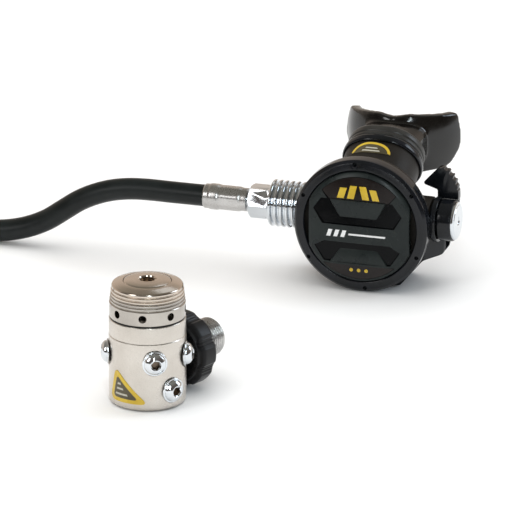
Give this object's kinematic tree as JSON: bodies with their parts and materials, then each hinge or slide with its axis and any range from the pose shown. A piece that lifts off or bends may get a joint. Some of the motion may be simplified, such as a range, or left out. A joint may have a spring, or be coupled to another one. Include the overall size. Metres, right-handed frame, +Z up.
{
  "type": "scuba regulator set",
  "caption": "Scuba regulator set: an upright nickel-plated diaphragm first stage with DIN handwheel, and a round-faced demand valve with mouthpiece on a rubber hose.",
  "frame": {"origin": "centre of the first stage's flat base, on the surface that both stages and the hose lie on", "axes": "+Z up, along the first stage's axis; +X to the right as the set is seen from the front; +Y away from the viewer. The second stage's cover faces -Y, turned 16.7 degrees towards -X"},
  "size_m": [0.4777, 0.3352, 0.0893],
  "materials": {
    "satin_nickel": "satin nickel-plated brass",
    "polished_nickel": "polished nickel-plated brass, warm tone",
    "chrome": "polished chrome-plated brass",
    "satin_steel": "satin crimped steel",
    "spring_steel": "drawn stainless spring wire",
    "bronze_filter": "sintered bronze",
    "black_gloss": "gloss black moulding",
    "black_matte": "matte brown-black glass-filled moulding",
    "button_grey": "semi-gloss dark grey moulding",
    "wheel_black": "semi-matte black moulding with fine texture",
    "seal_black": "black rubber seal",
    "hose_rubber": "smooth black hose rubber",
    "mouth_silicone": "glossy black silicone",
    "collar_grey": "dark grey moulded rubber",
    "diaphragm_silicone": "translucent silicone",
    "badge_yellow": "printed yellow and olive-brown badge under clear resin",
    "window_brown": "dark brown printed insert",
    "white_plastic": "acetal"
  },
  "bodies": {
    "root": {"first_stage_body": "satin_nickel", "diaphragm_clamp": "satin_nickel", "chamber_seal": "seal_black", "spring_chamber": "polished_nickel", "dome_cap": "polished_nickel", "main_spring": "spring_steel", "spring_pad": "satin_steel", "first_stage_diaphragm": "seal_black", "high_pressure_seat": "satin_steel", "high_pressure_spring": "spring_steel", "lp_port_plugs": "chrome", "high_pressure_plug": "chrome", "plug_orings": "seal_black", "first_stage_badge": "badge_yellow", "din_stem": "chrome", "din_oring": "seal_black", "inlet_filter": "bronze_filter", "housing": "black_matte", "cover_ring": "black_gloss", "purge_spring": "spring_steel", "cover_grille": "black_matte", "diaphragm": "diaphragm_silicone", "lever_pin": "satin_steel", "valve_tube": "chrome", "orifice": "bronze_filter", "exhaust_valve": "diaphragm_silicone", "exhaust_tee": "black_gloss", "mouthpiece": "mouth_silicone", "mouthpiece_collar": "collar_grey", "mouthpiece_tie": "black_gloss", "neck_badge": "badge_yellow", "heat_exchanger": "chrome", "hose_stem": "chrome", "stem_oring": "seal_black", "hose_ferrule": "satin_steel", "hose": "hose_rubber", "far_ferrule": "satin_steel", "far_fitting": "chrome", "far_oring": "seal_black"},
    "purge_button": {"purge_button": "button_grey", "button_window_top": "badge_yellow", "button_window_bottom": "window_brown"},
    "diaphragm_plate": {"diaphragm_plate": "white_plastic"},
    "demand_lever": {"demand_lever": "satin_steel"},
    "poppet": {"poppet": "white_plastic", "lp_seat": "seal_black", "poppet_spring": "spring_steel"},
    "adjust_knob": {"adjust_knob": "black_gloss", "knob_cap": "chrome"},
    "adjust_plunger": {"adjust_plunger": "satin_steel"},
    "venturi_lever": {"venturi_lever": "black_gloss", "venturi_vane": "black_matte"},
    "hose_swivel_nut": {"hose_swivel_nut": "chrome"},
    "handwheel": {"handwheel": "wheel_black", "din_connector": "satin_steel"},
    "adjuster_screw": {"adjuster_screw": "polished_nickel"},
    "spring_seat": {"spring_seat": "satin_steel"},
    "high_pressure_valve_set": {"high_pressure_valve": "satin_steel", "lifter_pin": "satin_steel"}
  },
  "joints": [
    {"name": "purge_press", "type": "slide", "parent": "root", "child": "purge_button", "axis": [0.2874, 0.9578, 0], "range_m": [0, 0.003], "stiffness_N_per_m": 500, "springref_m": -0.001, "deforming": ["purge_spring"]},
    {"name": "diaphragm_travel", "type": "slide", "parent": "root", "child": "diaphragm_plate", "axis": [0.2874, 0.9578, 0], "range_m": [0, 0.0031]},
    {"name": "demand_lever_swing", "type": "hinge", "parent": "root", "child": "demand_lever", "pos_m": [0.1376, 0.19054, 0.0425], "axis": [0, 0, 1], "range_deg": [-10, 0]},
    {"name": "poppet_lift", "type": "slide", "parent": "root", "child": "poppet", "axis": [0.9578, -0.2874, 0], "range_m": [0, 0.00125]},
    {"name": "adjust_knob_turn", "type": "hinge", "parent": "root", "child": "adjust_knob", "pos_m": [0.17534, 0.18757, 0.0425], "axis": [0.9578, -0.2874, 0], "range_deg": [0, 300]},
    {"name": "adjust_plunger_travel", "type": "slide", "parent": "root", "child": "adjust_plunger", "axis": [0.9578, -0.2874, 0], "range_m": [-0.0015, 0]},
    {"name": "venturi_lever_swing", "type": "hinge", "parent": "root", "child": "venturi_lever", "pos_m": [0.16959, 0.18929, 0.0425], "axis": [0.9578, -0.2874, 0], "range_deg": [-60, 0]},
    {"name": "hose_nut_spin", "type": "hinge", "parent": "root", "child": "hose_swivel_nut", "pos_m": [0.06615, 0.22032, 0.0425], "axis": [0.9578, -0.2874, 0], "continuous": true},
    {"name": "handwheel_spin", "type": "hinge", "parent": "root", "child": "handwheel", "pos_m": [0.01928, 0.02298, 0.023], "axis": [0.6428, 0.766, 0], "continuous": true},
    {"name": "adjuster_turn", "type": "hinge", "parent": "root", "child": "adjuster_screw", "pos_m": [0, 0, 0.068], "axis": [0, 0, 1], "range_deg": [-180, 180]},
    {"name": "spring_seat_travel", "type": "slide", "parent": "root", "child": "spring_seat", "axis": [0, 0, 1], "range_m": [-0.00075, 0.00075], "deforming": ["main_spring"]},
    {"name": "high_pressure_valve_travel", "type": "slide", "parent": "root", "child": "high_pressure_valve_set", "axis": [0, 0, -1], "range_m": [0, 0.0007], "stiffness_N_per_m": 400, "springref_m": -0.001, "deforming": ["high_pressure_spring"]}
  ],
  "couplings": [
    {"joint": "diaphragm_travel", "follows": "purge_press", "ratio": 1},
    {"joint": "demand_lever_swing", "follows": "purge_press", "rad_per_m": -55.269},
    {"joint": "poppet_lift", "follows": "purge_press", "ratio": 0.4},
    {"joint": "adjust_knob_turn", "follows": "adjust_plunger_travel", "rad_per_m": -3490},
    {"joint": "adjuster_turn", "follows": "spring_seat_travel", "rad_per_m": -4188}
  ]
}
